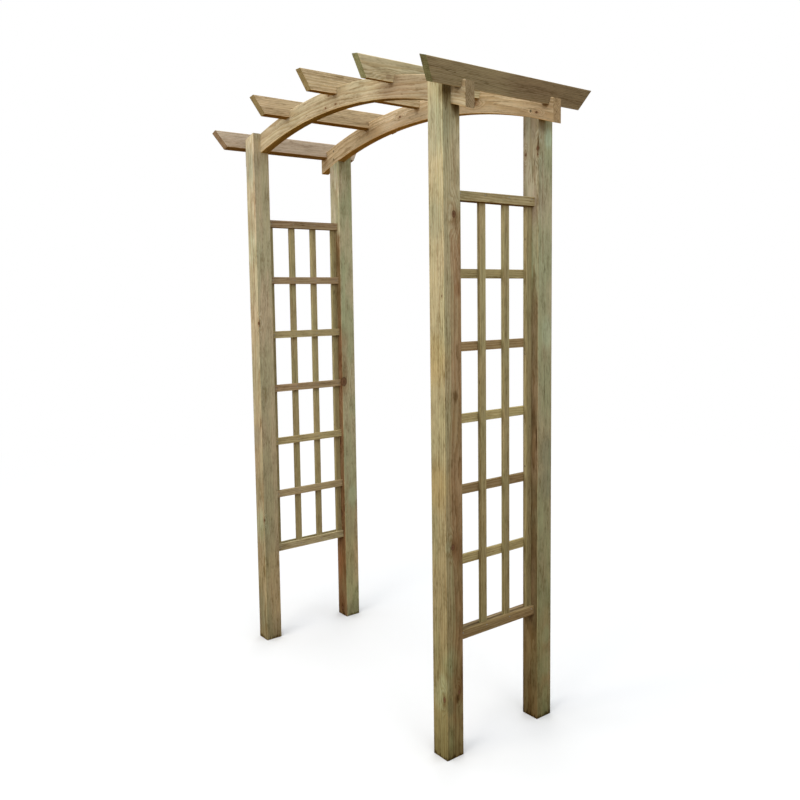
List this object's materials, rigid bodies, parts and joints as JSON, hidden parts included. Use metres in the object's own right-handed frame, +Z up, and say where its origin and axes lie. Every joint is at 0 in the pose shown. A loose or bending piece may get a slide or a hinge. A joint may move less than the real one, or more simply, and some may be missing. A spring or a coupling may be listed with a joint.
{
  "type": "garden arch",
  "caption": "Timber walk-through garden arch: square posts carry curved beams with notched cross rafters, and lath trellis panels fill the sides for climbing plants.",
  "frame": {"origin": "on the ground, in the middle between the four posts", "axes": "+Z up, X across the path with the right-hand posts at +X, Y along the path with the rear posts at +Y"},
  "size_m": [1.421, 0.717, 2.292],
  "materials": {
    "post_timber": "planed pressure-treated softwood, green tinged",
    "beam_timber": "planed pressure-treated softwood, golden",
    "rafter_timber": "planed pressure-treated softwood, tan",
    "upright_lath": "sawn pressure-treated softwood lath, olive",
    "rail_lath": "sawn pressure-treated softwood lath, brown",
    "screw_steel": "passivated steel",
    "nail_steel": "galvanised steel"
  },
  "bodies": {
    "root": {"front_left_post": "post_timber", "front_right_post": "post_timber", "rear_left_post": "post_timber", "rear_right_post": "post_timber", "front_beam": "beam_timber", "rear_beam": "beam_timber", "left_end_rafter": "rafter_timber", "left_inner_rafter": "rafter_timber", "crown_rafter": "rafter_timber", "right_inner_rafter": "rafter_timber", "right_end_rafter": "rafter_timber", "left_panel_front_stile": "upright_lath", "left_panel_front_upright": "upright_lath", "left_panel_rear_upright": "upright_lath", "left_panel_rear_stile": "upright_lath", "right_panel_front_stile": "upright_lath", "right_panel_front_upright": "upright_lath", "right_panel_rear_upright": "upright_lath", "right_panel_rear_stile": "upright_lath", "left_panel_rail_1": "rail_lath", "left_panel_rail_2": "rail_lath", "left_panel_rail_3": "rail_lath", "left_panel_rail_4": "rail_lath", "left_panel_rail_5": "rail_lath", "left_panel_rail_6": "rail_lath", "left_panel_rail_7": "rail_lath", "left_panel_outer_top_rail": "rail_lath", "left_panel_outer_bottom_rail": "rail_lath", "right_panel_rail_1": "rail_lath", "right_panel_rail_2": "rail_lath", "right_panel_rail_3": "rail_lath", "right_panel_rail_4": "rail_lath", "right_panel_rail_5": "rail_lath", "right_panel_rail_6": "rail_lath", "right_panel_rail_7": "rail_lath", "right_panel_outer_top_rail": "rail_lath", "right_panel_outer_bottom_rail": "rail_lath", "beam_screws": "screw_steel", "rafter_screws": "screw_steel", "panel_screws": "screw_steel", "left_panel_nails": "nail_steel", "right_panel_nails": "nail_steel"}
  },
  "joints": []
}
